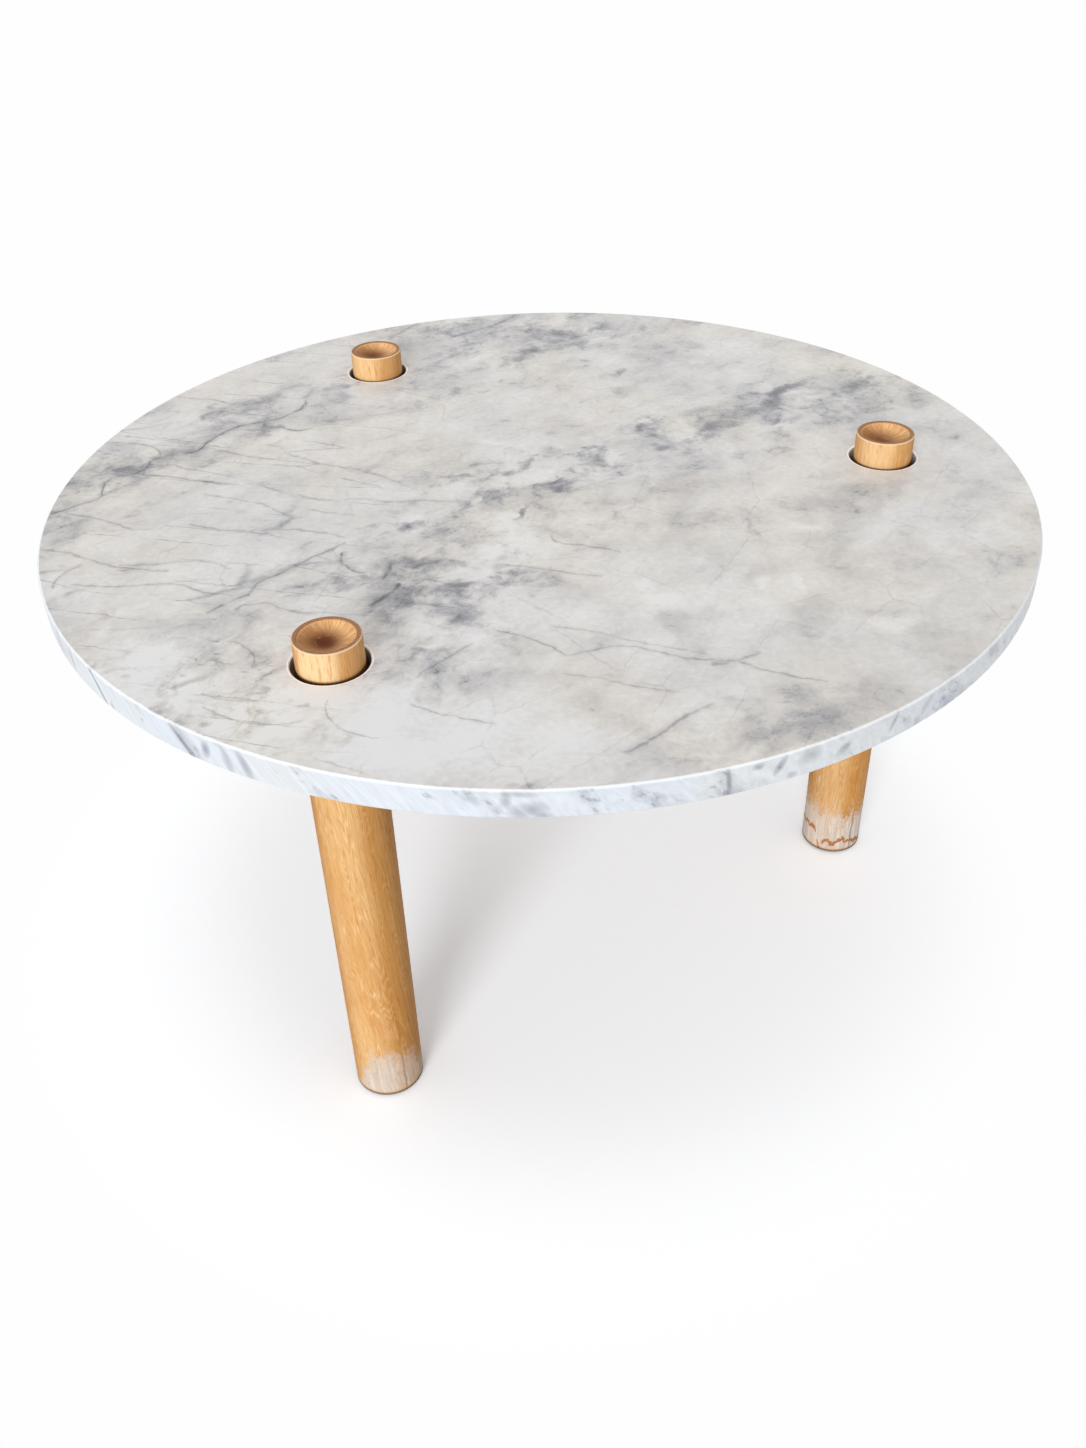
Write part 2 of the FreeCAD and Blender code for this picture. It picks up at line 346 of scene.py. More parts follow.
# Each cloud: place, half length, half width, turn in degrees and strength
CLOUDS = [
    (-275, 165, 44, 22, 48, 0.62), (-246, 152, 18, 12, 30, 0.5), (-247, 118, 30, 16, 45, 0.5),
    (-312, 80, 34, 15, 5, 0.55), (-325, 62, 22, 14, 50, 0.4), (-386, 78, 14, 26, 10, 0.6),
    (-368, 50, 34, 11, -6, 0.65), (-386, 22, 26, 16, 0, 0.55), (-226, 100, 20, 8, 50, 0.45),
    (-186, 216, 22, 10, 50, 0.32), (-142, 164, 16, 12, 0, 0.35), (-150, 52, 60, 18, 35, 0.22),
    (-110, 180, 30, 18, 60, 0.25), (-340, 165, 20, 30, 20, 0.25), (-262, 290, 22, 26, 0, 0.28),
    (-68, 12, 44, 13, 38, 0.55), (-61, 15, 11, 6, 45, 0.6), (-37, 16, 16, 6, 55, 0.9),
    (-12, 34, 32, 6, 58, 0.65), (-20, 62, 26, 12, 25, 0.5), (13, 0, 6, 3, 60, 0.8),
    (22, -14, 16, 8, 65, 0.75), (19, -14, 6, 4, 80, 0.7), (-17, -56, 14, 3, 68, 0.95),
    (-12, -46, 9, 4, 60, 0.5), (62, -60, 40, 10, 42, 0.7), (50, -85, 26, 16, 60, 0.5),
    (90, 102, 34, 15, 45, 0.8), (90, 100, 16, 6, 50, 0.5), (75, 194, 14, 20, 0, 0.5),
    (38, 160, 20, 7, 55, 0.42), (40, 131, 14, 6, 15, 0.45), (-21, 170, 7, 7, 0, 0.45),
    (18, 170, 24, 12, 0, 0.2), (-110, 126, 10, 8, 0, 0.4), (-75, 198, 40, 18, 35, 0.35),
    (-104, -68, 20, 14, 50, 0.75), (-104, -69, 8, 6, 0, 0.5), (-60, -33, 7, 9, 0, 0.5),
    (-20, -30, 40, 30, 45, 0.24), (140, 84, 40, 22, 35, 0.42), (112, 58, 26, 7, 25, 0.35),
    (-95, -130, 34, 15, 15, 0.62), (-84, -132, 12, 6, 20, 0.5), (-130, -155, 50, 20, 10, 0.35),
    (-168, -156, 12, 5, 20, 0.5), (-98, -180, 14, 12, 40, 0.65), (-96, -191, 9, 6, 30, 0.5),
    (-62, -164, 16, 10, 35, 0.8), (-80, -176, 34, 12, 20, 0.4), (-56, -209, 18, 16, 30, 0.62),
    (-28, -213, 22, 16, 20, 0.42), (-74, -231, 14, 8, 30, 0.5), (-30, -242, 12, 14, 0, 0.5),
    (-17, -240, 10, 14, -20, 0.38), (-110, -211, 8, 6, 0, 0.5), (-60, -190, 90, 50, 45, 0.25),
    (-185, -277, 9, 20, -25, 0.5), (-72, -278, 30, 8, 5, 0.42), (-106, -279, 24, 14, 20, 0.32),
    (-226, -225, 14, 6, 10, 0.6), (-252, -285, 20, 8, 15, 0.6), (-262, -226, 8, 24, 0, 0.25),
    (-190, -312, 30, 12, -30, 0.3), (-120, -220, 30, 30, 0, 0.2), (131, -271, 14, 9, 20, 0.45),
    (120, -322, 20, 16, 0, 0.32), (142, -354, 46, 24, 15, 0.42), (166, -322, 16, 36, 10, 0.3),
    (182, -345, 34, 26, 20, 0.32), (166, -303, 10, 14, 0, 0.28), (190, -245, 16, 12, 0, 0.35),
    (90, -378, 26, 8, 0, 0.4), (10, -375, 16, 24, 0, 0.28), (-8, -402, 26, 12, 0, 0.8),
    (-334, -224, 9, 20, 35, 0.9), (-256, -310, 16, 12, 20, 0.9), (-222, -334, 6, 14, 0, 0.7),
    (240, -214, 40, 20, 0, 0.26),
    (264, -166, 18, 20, 0, 0.3), (226, -149, 14, 5, 5, 0.45), (114, -146, 20, 8, 20, 0.35),
    (116, -180, 22, 8, -20, 0.38), (140, -80, 44, 36, 0, 0.26), (166, -88, 8, 20, 0, 0.4),
    (208, -60, 22, 14, 20, 0.32), (266, -88, 18, 9, 30, 0.4), (282, -92, 5, 6, 0, 0.35),
    (346, -76, 12, 14, 0, 0.36), (306, -142, 10, 5, 0, 0.35), (365, -146, 18, 10, 0, 0.3),
    (238, 177, 22, 9, 42, 1.0), (226, 164, 16, 9, 60, 0.7), (217, 140, 20, 9, 62, 0.9),
    (211, 100, 14, 5, 60, 0.75), (200, 130, 40, 18, 25, 0.45), (214, 84, 28, 26, 0, 0.38),
    (165, 116, 32, 24, 20, 0.4), (166, 98, 20, 9, 10, 0.5), (254, 136, 12, 26, 10, 0.38),
    (216, 166, 26, 9, 20, 0.35), (300, 182, 34, 14, 15, 0.45), (276, 164, 38, 18, 10, 0.34),
    (302, 130, 26, 18, 0, 0.4), (346, 156, 34, 12, 40, 0.4), (320, 196, 20, 8, 40, 0.4),
    (290, 118, 5, 10, 0, 0.4), (228, 97, 5, 5, 0, 0.45), (244, 76, 8, 5, 30, 0.5),
    (364, 92, 14, 7, 20, 0.4), (368, 60, 14, 4, 15, 0.4), (182, 16, 22, 9, -10, 0.32),
    (229, 2, 14, 5, 60, 0.4), (196, -2, 6, 8, 0, 0.3), (190, -32, 12, 4, 0, 0.35),
    (42, 331, 15, 6, 58, 1.0), (25, 342, 14, 11, 60, 0.65), (42, 342, 42, 18, 20, 0.4),
    (3, 326, 10, 12, 0, 0.55), (-6, 286, 14, 8, 0, 0.6), (-12, 272, 22, 34, 0, 0.4),
    (40, 378, 12, 7, 0, 0.6), (72, 388, 18, 12, 0, 0.5), (74, 356, 7, 20, 0, 0.4),
    (-86, 342, 14, 26, 25, 0.6), (-80, 374, 46, 18, 10, 0.4), (-40, 221, 22, 6, 18, 0.5),
    (-112, 207, 6, 6, 0, 0.45), (-74, 243, 5, 5, 0, 0.5), (45, 259, 5, 5, 0, 0.5),
    (86, 232, 16, 5, 55, 0.35), (154, 238, 16, 7, 10, 0.35), (170, 320, 12, 12, 0, 0.35),
    (110, 375, 16, 8, 0, 0.45), (60, 344, 22, 5, 45, 0.4), (-150, 358, 10, 30, 0, 0.3),
]
# Each pale patch: the same, for stone that is whiter than the rest, and for painted light near the front
PALE_STONE_AND_LIGHT = [
    (-38, 78, 24, 6, -20, 0.5), (-32, 38, 20, 18, 0, 0.35), (-20, 5, 34, 24, 30, 0.35),
    (-44, -237, 12, 11, 0, 0.6), (60, 50, 34, 22, 10, 0.3), (245, -232, 26, 12, 0, 0.55),
    (190, -176, 4, 16, 10, 0.6), (166, -172, 6, 13, 0, 0.6), (208, -86, 14, 8, 0, 0.5),
    (330, -130, 40, 30, 45, 0.35), (92, -352, 30, 12, 15, 0.5), (-110, -300, 40, 20, 0, 0.25),
    (110, 340, 30, 20, 0, 0.2), (-60, 300, 40, 40, 0, 0.15), (90, -190, 14, 10, 0, 0.35),
    (80, -168, 10, 8, 0, 0.4), (288, 140, 20, 14, 0, 0.25), (120, -132, 10, 6, 30, 0.4),
    # The wide patches on this line and the next pale the front of the face: painted light, as the lamps light
    # the front more.
    (-60, -345, 210, 60, 0, 0.6), (-240, -270, 120, 70, -45, 0.72), (-300, -120, 90, 60, -20, 0.2),
    (110, -200, 130, 60, 0, 0.4), (-150, -290, 90, 50, -15, 0.3), (-30, -95, 80, 50, 45, 0.35),
    (-80, -250, 22, 9, 40, 0.5), (-140, -215, 26, 8, 30, 0.4), (-30, -60, 26, 12, 60, 0.4),
]
# Each cloud on the rim: millimetres round from the right, height under the face, then as above
RIM_CLOUDS = [
    (-970, -11, 18, 2.4, -50, 1.0), (-1013, -11, 14, 3, -85, 0.5), (-1035, -11, 22, 14, 0, 0.3),
    (-876, -11, 17, 2.6, -48, 1.1), (-874, -11, 22, 7, -48, 0.35), (-855, -10, 8, 4, 80, 0.7),
    (-838, -12, 13, 4, -75, 0.45), (-824, -12, 15, 4, -70, 0.55), (-916, -12, 2, 2, 0, 0.5),
    (-955, -19, 4, 2, -50, 0.6), (-517, -12, 14, 2.2, 95, 0.8), (-497, -4, 5, 3, 0, 0.7),
    (-482, -8, 8, 3, 60, 0.7), (-461, -7, 9, 7, 0, 0.4), (-436, -12, 7, 4, 30, 0.7),
    (-473, -18, 4, 3, 0, 0.45), (-394, -8, 8, 1.8, 65, 0.55), (-366, -12, 16, 4, 50, 0.35),
    (-653, -8, 4, 7, 0, 0.5), (-640, -16, 14, 7, 10, 0.6), (-630, -20, 6, 3, 0, 0.5),
    (-645, -3, 14, 3, 0, 0.35),
]
print("veins:", len(VEINS), "clouds:", len(CLOUDS), "pale patches:", len(PALE_STONE_AND_LIGHT))

# %% [markdown]
# A vein is drawn in its own frame, whose X runs from its first point to its last. There a Float Curve
# holds its route, and the distance from that route makes the line. A second curve fades its ends.
# Clouds are cheaper: a stretched frame turns an ellipse into a ball, and a Gradient node fills the ball.
# Hairlines come from a Voronoi pattern, whose cells meet in a net of thin borders.

# %% Draw a vein and a cloud
ROUTE_MIDDLE = 0.5
FADED_ENDS = [(0.0, 0.0), (0.12, 1.0), (0.45, 0.75), (0.7, 1.0), (1.0, 0.0)]


def draw_vein(stone, place, strength, width, points):
    """How dark one vein is at a place, from 0 to its strength."""
    start = Vector(points[0])
    run = Vector(points[-1]) - start
    length = run.length
    ahead = run / length
    left = Vector((-ahead.y, ahead.x))
    route = []
    for point in points:
        step = Vector(point) - start
        route.append((step.dot(ahead) / length, ROUTE_MIDDLE + step.dot(left) / length))
    frame_turn = math.atan2(run.y, run.x)
    local = stone.stretch(place, (*start, 0), frame_turn, (length, length, length))
    along, aside, _ = stone.parts(local)
    offset = abs(aside + ROUTE_MIDDLE - stone.curve(along, route))
    core = stone.fade(offset, 0.95 * width / length, 0.1 * width / length)
    halo = stone.fade(offset, 4.5 * width / length, 0) ** 2
    return (core * 0.95 + halo * 0.38) * (stone.curve(along, FADED_ENDS) * strength)


def draw_cloud(stone, place, total, x, y, long, short, turn, strength):
    """The total with one cloud added to it."""
    local = stone.stretch(place, (x, y, 0), math.radians(turn), (long * 1.15, short * 1.15, 1))
    ball = stone.node("ShaderNodeTexGradient", {"gradient_type": "SPHERICAL"}, {"Vector": local}, "Fac")
    return stone.node("ShaderNodeMath", {"operation": "MULTIPLY_ADD"}, {0: ball, 1: strength, 2: total})


def draw_clouds(stone, place, rows):
    """All the clouds of a list, added up."""
    total = 0.0
    for row in rows:
        total = draw_cloud(stone, place, total, *row)
    return total


def draw_cracks(stone, place, turn, long, short, width):
    """A net of hairlines whose meshes are long one way: the borders between drawn-out cells."""
    local = stone.stretch(place, turn=math.radians(turn), size=(long, short, 1))
    settings = {"feature": "DISTANCE_TO_EDGE", "voronoi_dimensions": "2D"}
    border = stone.node("ShaderNodeTexVoronoi", settings, {"Vector": local, "Scale": 1}, "Distance")
    return stone.fade(border, width / short, 0) ** 2


# %% [markdown]
# Some wide stretches of the slab are greyer all over, and others are calm, with hardly a mark. They are
# ellipses too, and the noise of the next cells is turned up or down by them. The widest grey zone, over the
# back half, is painted shade.

# %% Grey zones and calm stretches
# Each zone: place, half length, half width, turn in degrees and strength; the last one is painted shade
GREY_ZONES_AND_SHADE = [
    (-330, 70, 150, 80, 50, 1.0), (-240, 190, 110, 60, 30, 0.7), (-100, -160, 150, 100, 20, 1.0),
    (-20, -20, 170, 90, 40, 0.9), (190, 120, 190, 90, 35, 1.0), (310, 160, 110, 60, 20, 0.9),
    (20, 330, 150, 70, 10, 1.0), (-90, 360, 110, 50, 10, 1.0), (140, -340, 130, 60, 15, 1.0),
    (-210, -280, 150, 70, -30, 0.8), (230, -70, 150, 90, 10, 0.4), (-130, 210, 130, 90, 40, 0.6),
    (-60, -270, 90, 50, 10, 0.8), (70, 190, 70, 70, 0, 0.4), (-390, 0, 60, 110, 0, 0.7),
    # Painted shade: a wide grey zone over the back half of the face, which the lamps light less.
    (60, 310, 330, 110, 0, 0.5),
]
# Each calm stretch: the same, for softer mottling, and below 0 for more of it
CALM = [
    (150, -330, 190, 90, 15, 0.8), (200, -90, 150, 120, 0, 0.4), (-30, -330, 170, 50, 0, 0.6),
    (100, -205, 130, 70, 0, 0.65), (0, 20, 130, 60, 45, -0.85), (-60, -150, 110, 60, 30, -0.25),
]
print("grey zones:", len(GREY_ZONES_AND_SHADE), "calm stretches:", len(CALM))

# %% [markdown]
# The bands slant through the slab. So each place is first slid sideways by its depth, and what is drawn on
# the face runs on down the rim and into the bores. Noise then bends the places, softly for the clouds and
# in small sharp creases for the veins. Everything is summed as one number, the greyness, because numbers
# are easier to add and to compare than colours.

# %% Bend the places, then lay the clouds and the veins
stone = Finish("veined_marble")
x, y, z = stone.parts(stone.place)
depth = z - FACE
flat = stone.join(x + depth * 0.7, y - depth * 0.4, 0.0)
broad = stone.stray(flat, 70, 14, 2)
fine = stone.stray(flat, 20, 6, 4)
tiny = stone.stray(flat, 7, 2.2, 2)
bent = flat + broad * (1.0, 1.0, 0.0) + fine * (1.0, 1.0, 0.0)
creased = flat + broad * (0.15, 0.15, 0.0) + fine * (0.35, 0.35, 0.0) + tiny * (1.0, 1.0, 0.0)
clouds = draw_clouds(stone, bent, CLOUDS)
grey_zones_and_shade = draw_clouds(stone, bent, GREY_ZONES_AND_SHADE)
pale_stone_and_light = draw_clouds(stone, bent, PALE_STONE_AND_LIGHT)
calm = draw_clouds(stone, bent, CALM)
veins = 0.0
for strength, width, points in VEINS:
    veins = draw_vein(stone, creased, strength, width, points) + veins
print("nodes for what is placed by hand:", len(stone.tree.nodes))

# %% [markdown]
# Noise of several sizes gives the rest: a swell along the bands, curds as in milk, fine grit, beads, and
# wisps where a noise crosses its own middle. Taking a half off centres a noise on 0, so that it darkens
# as much as it lightens. The haze decides where wisps and beads may show at all.

# %% Mottling, wisps and hairlines
BAND_TURN = math.radians(48)
BEAD_TURN = math.radians(-17)
CRACK_WIDTH = 1.3
swell = stone.noise(stone.stretch(bent, turn=BAND_TURN, size=(1.35, 1, 1)), 34, 8, 0.6) - 0.5
rolling = stone.noise(bent, 85, 5, 0.55) - 0.5
curds = stone.noise(bent, 11, 5, 0.6) - 0.5
grit = stone.noise(flat + fine, 5, 4, 0.6) - 0.5
patchy = stone.noise(flat, 13, 3, 0.6)
wisp = stone.noise(stone.stretch(creased, turn=BAND_TURN, size=(1.5, 1, 1)), 15, 3, 0.55) - 0.5
mottling = (swell * 4.0 + curds * 2.8) * (1 - calm * 0.8)
haze = stone.fade(mottling + clouds * 1.6 + grey_zones_and_shade * 0.5 - 0.4, -0.1, 2.4, 0, 1.3)
veil = stone.fade(grey_zones_and_shade + rolling * 4.0 + swell * 2.0, 0.1, 1.3)
wisps = stone.fade(abs(wisp), 0.035, 0) * stone.fade(haze + veil * 0.3, 0.05, 0.6)
bead = stone.noise(stone.stretch(flat + fine, turn=BEAD_TURN, size=(1.7, 1, 1)), 5, 1, 0.5)
beads = stone.fade(bead, 0.66, 0.76) * stone.fade(haze + veil * 0.6 + veins, 0.1, 0.7)
left_side = stone.fade(x, -40, -200)
breaks = stone.fade(stone.noise(flat, 60, 3, 0.6), 0.42, 0.6)
cracks = draw_cracks(stone, creased, -14, 190, 30, CRACK_WIDTH) * left_side * 0.9
cracks = cracks + draw_cracks(stone, creased, 55, 90, 46, CRACK_WIDTH) * 0.3
lines = (cracks * breaks * 0.36 + veins * 0.8) * stone.fade(patchy, 0.3, 0.7, 0.5, 1.5)
grey = 0.135 + swell * 0.42 * (1 - calm * 0.5) + rolling * 0.3 + grit * 0.25
grey = grey + haze * 0.7 + veil * 0.12 + wisps * 0.18
grey = (grey - 0.16) * 1.12 + 0.185 + beads * 0.4 - pale_stone_and_light * 0.3
print("nodes with the mottling and the lines:", len(stone.tree.nodes))

# %% [markdown]
# On the rim the layers are cut across, so it shows soft slanted patches with a few dark grains, and hardly
# a line. It has a map of its own, of millimetres round the slab and millimetres down from the face.

# %% The rim
radius = (x * x + y * y) ** 0.5
rim = stone.fade(radius, EDGE - 1.4, EDGE - 0.6)
bearing = stone.node("ShaderNodeMath", {"operation": "ARCTAN2"}, {0: y, 1: x})
slanted = stone.join(bearing * EDGE + depth * 0.6, depth * 0.8, 0.0) + fine * 0.6
along_rim = stone.join(bearing * EDGE, depth, 0.0) + fine * 0.35
rim_clouds = draw_clouds(stone, along_rim, RIM_CLOUDS)
patch = stone.noise(slanted, 30, 5, 0.62) - 0.5
smear = stone.fade(patch, 0.0, 0.2)
grains = stone.fade(stone.noise(slanted, 6, 3, 0.6), 0.54, 0.66)
marks = grains * stone.fade(patch + rim_clouds * 0.2, 0.02, 0.12)
rim_grey = 0.09 + smear * 0.28 + marks * 0.34 + grit * 0.35 + rim_clouds * 0.95 + lines * 0.15
face_grey = grey + lines
grey = face_grey + (rim_grey - face_grey) * rim
print("the rim is", round(math.tau * EDGE), "mm round and", round(SLAB_HALF * 2, 1), "mm high")

# %% [markdown]
# A Color Ramp turns the greyness into stone, from the whitest at 0 to the darkest at 1.5. It is almost
# neutral and goes bluer towards the dark. A last wide noise warms some stretches and cools others, the cut
# rim is cooler than the polished face, and its eased arrises catch a pale line of light.

# %% The stone's colours
DARKEST = 1.5
TONES = [(0.0, tint(229, 229, 229)), (0.07, tint(223, 222, 220)), (0.13, tint(217, 215, 212)),
         (0.2, tint(209, 207, 204)), (0.31, tint(197, 195, 194)), (0.47, tint(181, 180, 181)),
         (0.65, tint(165, 165, 168)), (0.95, tint(141, 141, 145)), (DARKEST, tint(104, 105, 112))]
steps = [(value / DARKEST, colour) for value, colour in TONES]
base = stone.node("ShaderNodeValToRGB", {"stops": steps}, {0: grey / DARKEST}, "Color")
warm = stone.fade(stone.noise(bent, 150, 3, 0.5), 0.36, 0.64)
base = base * stone.mix(warm, (1.0, 1.0, 1.015), (1.027, 1.003, 0.967))
base = base * stone.mix(rim, (1.0, 1.0, 1.0), (0.96, 1.04, 1.14))
# A painted highlight: the eased arrises are paler where they would catch the light.
arris_height = stone.fade(abs(z - SLAB_MIDDLE), SLAB_HALF - 1.65, SLAB_HALF - 0.85)
arris_highlight = stone.fade(radius, EDGE - 1.7, EDGE - 1.2) * arris_height
base = stone.mix(arris_highlight * 0.45, base, tint(244, 249, 253))
print("tones of stone:", len(TONES))

# %% [markdown]
# A fine pale line, a painted highlight, runs round each bore where the drill's edge was eased, and the
# wall below it gets painted shade. Both need only the distance to the nearest leg.

# %% The bores, and the stone on its slab
BORE_RADIUS = 27.75
nearest = EDGE
for place_name in LEG_NAMES:
    aside = (stone.place - tuple(leg_centre(place_name))) * (1.0, 1.0, 0.0)
    distance = stone.node("ShaderNodeVectorMath", {"operation": "LENGTH"}, {0: aside}, "Value")
    nearest = stone.node("ShaderNodeMath", {"operation": "MINIMUM"}, {0: distance, 1: nearest})
# Painted shade darkens the bore's wall, and a painted highlight rings its eased edge.
bore_shade = stone.fade(nearest, BORE_RADIUS + 0.9, BORE_RADIUS + 0.5) * stone.fade(depth, -0.7, -14)
bore_highlight = stone.fade(abs(nearest - BORE_RADIUS - 0.9), 1.1, 0.6) * stone.fade(depth, -1.1, -0.7)
base = stone.mix(bore_shade * 0.9, base, tint(96, 70, 46))
base = stone.mix(bore_highlight * 0.85, base, tint(252, 253, 254))
stone.set(Base_Color=base, Roughness=0.34 + 0.2 * grit, IOR=1.5, Specular_IOR_Level=0.4)
dress(nodes["marble_top"], stone)
print("nodes in the marble:", len(stone.tree.nodes))

# %% [markdown]
# ## Oak
#
# A tree lays down one ring of wood a year, so its grain is a set of long nested tubes. A turned leg is cut
# from beside the heart of the trunk. Where its side runs along a ring the grain opens into loops, and
# where it cuts across the rings the grain closes into fine lines. The finish repeats that: it measures
# the distance to a leaning heart line that stands beside the leg, and bends the rings with noise. The pale
# hairlines of the silver figure are the level lines of a stretched noise, like heights on a map.

# %% The grain of one piece of oak
def grain(wood, local, heart, lean, ring, twist=0.0):
    """Honey oak. The third coordinate of the local place runs along the grain, in millimetres."""
    run = wood.parts(local)[2]
    sockets = {"Vector": local, "Angle": run * twist}
    turned = wood.node("ShaderNodeVectorRotate", {"rotation_type": "Z_AXIS"}, sockets)
    sway = wood.stray(turned * (1.0, 1.0, 0.2), 34, 6, 2)
    ripple = wood.stray(turned * (1.0, 1.0, 0.2), 8, 0.8, 2)
    swayed = turned + sway + ripple
    aside, back, along = wood.parts(swayed)
    aside = aside - along * lean[0] - heart[0]
    back = back - along * lean[1] - heart[1]
    year = (aside * aside + back * back) ** 0.5 / ring
    part = wood.node("ShaderNodeMath", {"operation": "FRACT"}, {0: year})
    early = wood.fade(part, 0.4, 0.0) + wood.fade(part, 0.9, 1.0)
    band = wood.noise(turned * (1.0, 1.0, 0.12), 24, 3, 0.5)
    thread = wood.noise(swayed * (1.0, 1.0, 0.045), 2.4, 4, 0.65)
    level = wood.noise(swayed * (1.0, 1.0, 0.13), 17, 2, 0.45) * 30
    step = wood.node("ShaderNodeMath", {"operation": "FRACT"}, {0: level})
    broken = wood.fade(wood.noise(turned * (1.0, 1.0, 0.25), 12, 2, 0.5), 0.38, 0.58)
    hairline = wood.fade(abs(step - 0.5), 0.26, 0.47) * broken
    furrow = wood.fade(abs(step - 0.5), 0.16, 0.0) * broken
    fibre = wood.noise(swayed * (1.0, 1.0, 0.08), 1.1, 2, 0.6)
    pore = wood.fade(wood.noise(swayed * (1.0, 1.0, 0.09), 1.0, 1, 0.5), 0.62, 0.72)
    fleck = wood.fade(wood.noise(turned * (1.0, 1.0, 0.3), 3.4, 1, 0.5), 0.68, 0.76)
    colour = wood.mix(wood.fade(band, 0.3, 0.7), tint(238, 193, 136), tint(226, 174, 112))
    colour = wood.mix(early * 0.3, colour, tint(210, 153, 92))
    colour = wood.mix(hairline * 0.55, colour, tint(250, 217, 170))
    colour = wood.mix(furrow * 0.4, colour, tint(206, 146, 82))
    colour = wood.mix(wood.fade(fibre, 0.42, 0.66) * 0.3, colour, tint(204, 146, 86))
    colour = wood.mix(wood.fade(thread, 0.5, 0.75) * 0.45, colour, tint(246, 208, 156))
    colour = wood.mix(wood.fade(thread, 0.48, 0.25) * 0.45, colour, tint(202, 144, 84))
    colour = wood.mix(fleck * 0.25, colour, tint(184, 126, 70))
    colour = wood.mix(pore * (0.1 + 0.3 * early), colour, tint(140, 88, 44))
    return colour, thread, pore


# %% [markdown]
# The legs are the oldest-looking pieces. Water and mops have bleached their feet to a chalky grey, with a
# feathered edge that climbs further along the pale threads of the wood. On one foot the dirt of an old
# water line has dried as a brown zigzag. Both follow the leg round, so their heights are drawn as curves
# over the bearing, which runs from 0 to 360 degrees. The flanks that turn away from the window lamp are
# painted darker and more saturated than the side that faces it, as painted shade.

# %% Where each leg stands and how it has worn
# For each leg: where the heart of the trunk stands and how it leans, a shift of the noise, and the twist
TRUNKS = {
    "front_left": {"heart": (12, 58), "lean": (0.05, 0.04), "shift": 0, "twist": 0.0035},
    "right": {"heart": (-30, 50), "lean": (0.03, 0.06), "shift": 700, "twist": 0.0},
    "back_left": {"heart": (40, 48), "lean": (-0.03, 0.05), "shift": 1500, "twist": -0.002},
}
YEAR_RING = 4.2
GRAIN_DEPTH = 0.00012
# For each leg: bearings in degrees and the height of the bleached zone there
BLEACHED = {
    "front_left": [(0, 20), (90, 20), (170, 6), (200, 1), (220, 10), (238, 32), (255, 45), (280, 48),
                   (310, 44), (330, 36), (345, 26), (360, 20)],
    "right": [(0, 34), (90, 30), (160, 50), (180, 56), (200, 55), (217, 51), (224, 47), (247, 53),
              (258, 51), (270, 46), (280, 42), (292, 49), (318, 48), (360, 38)],
    "back_left": [(0, 30), (60, 45), (120, 38), (200, 25), (290, 40), (360, 30)],
}
# For each water line: its height over the bearing, and how strong it is over the bearing
WATER_LINES = {
    "front_left": [],
    "right": [([(0, 12), (90, 16), (180, 28), (190, 26), (198, 29), (206, 26), (214, 28), (222, 25),
                (228, 17), (240, 12), (250, 16), (260, 12), (268, 14), (279, 19), (287, 14), (300, 13),
                (313, 11), (329, 9), (345, 10), (360, 12)],
               [(0, 50), (60, 20), (120, 20), (170, 100), (223, 100), (226, 0), (237, 0), (240, 100),
                (330, 100), (360, 50)]),
              ([(0, 14), (226, 14), (238, 3), (360, 3)],
               [(0, 0), (226, 0), (229, 100), (237, 100), (239, 0), (360, 0)])],
    "back_left": [([(0, 14), (70, 10), (140, 18), (210, 12), (290, 16), (360, 14)],
                   [(0, 60), (80, 0), (150, 80), (230, 20), (300, 70), (360, 60)])],
}
# For each leg: the bearing that faces the window lamp and the wood's tint there, which on the right leg is
# painted shade, how much of the bleach shows on the flanks under their painted shade, the bearing where a
# grey drip ran down, and how pale the neck is painted on the side facing the lamp
WEAR_AND_LIGHT = {
    "front_left": {"window": 254, "tint": (0.96, 0.93, 0.87), "flank_chalk": 0.66, "drip": 305, "neck": 0.68},
    "right": {"window": 238, "tint": (0.88, 0.87, 0.88), "flank_chalk": 1.0, "drip": 299, "neck": 0.3},
    "back_left": {"window": 240, "tint": (0.92, 0.88, 0.8), "flank_chalk": 0.8, "drip": 60, "neck": 0.3},
}
# The flanks' tint is painted shade: darker and more saturated away from the lamp.
SHADED_FLANK_TINT = (0.75, 0.61, 0.4)
# For each dish: how dark its middle is, with oil and painted shade, and how brown its left wall is painted as
# shade
DISH_OIL_AND_SHADE = {"front_left": (0.95, 0.6), "right": (0.6, 0.85), "back_left": (0.8, 0.7)}
print("bleached highest, in mm:", {name: max(point[1] for point in BLEACHED[name]) for name in LEG_NAMES})


def read_round(wood, bearing, points):
    """A value from 0 to 100 that changes round the leg, read off points of bearing and value."""
    return wood.curve(bearing, [(degrees / 360, value / 100) for degrees, value in points]) * 100
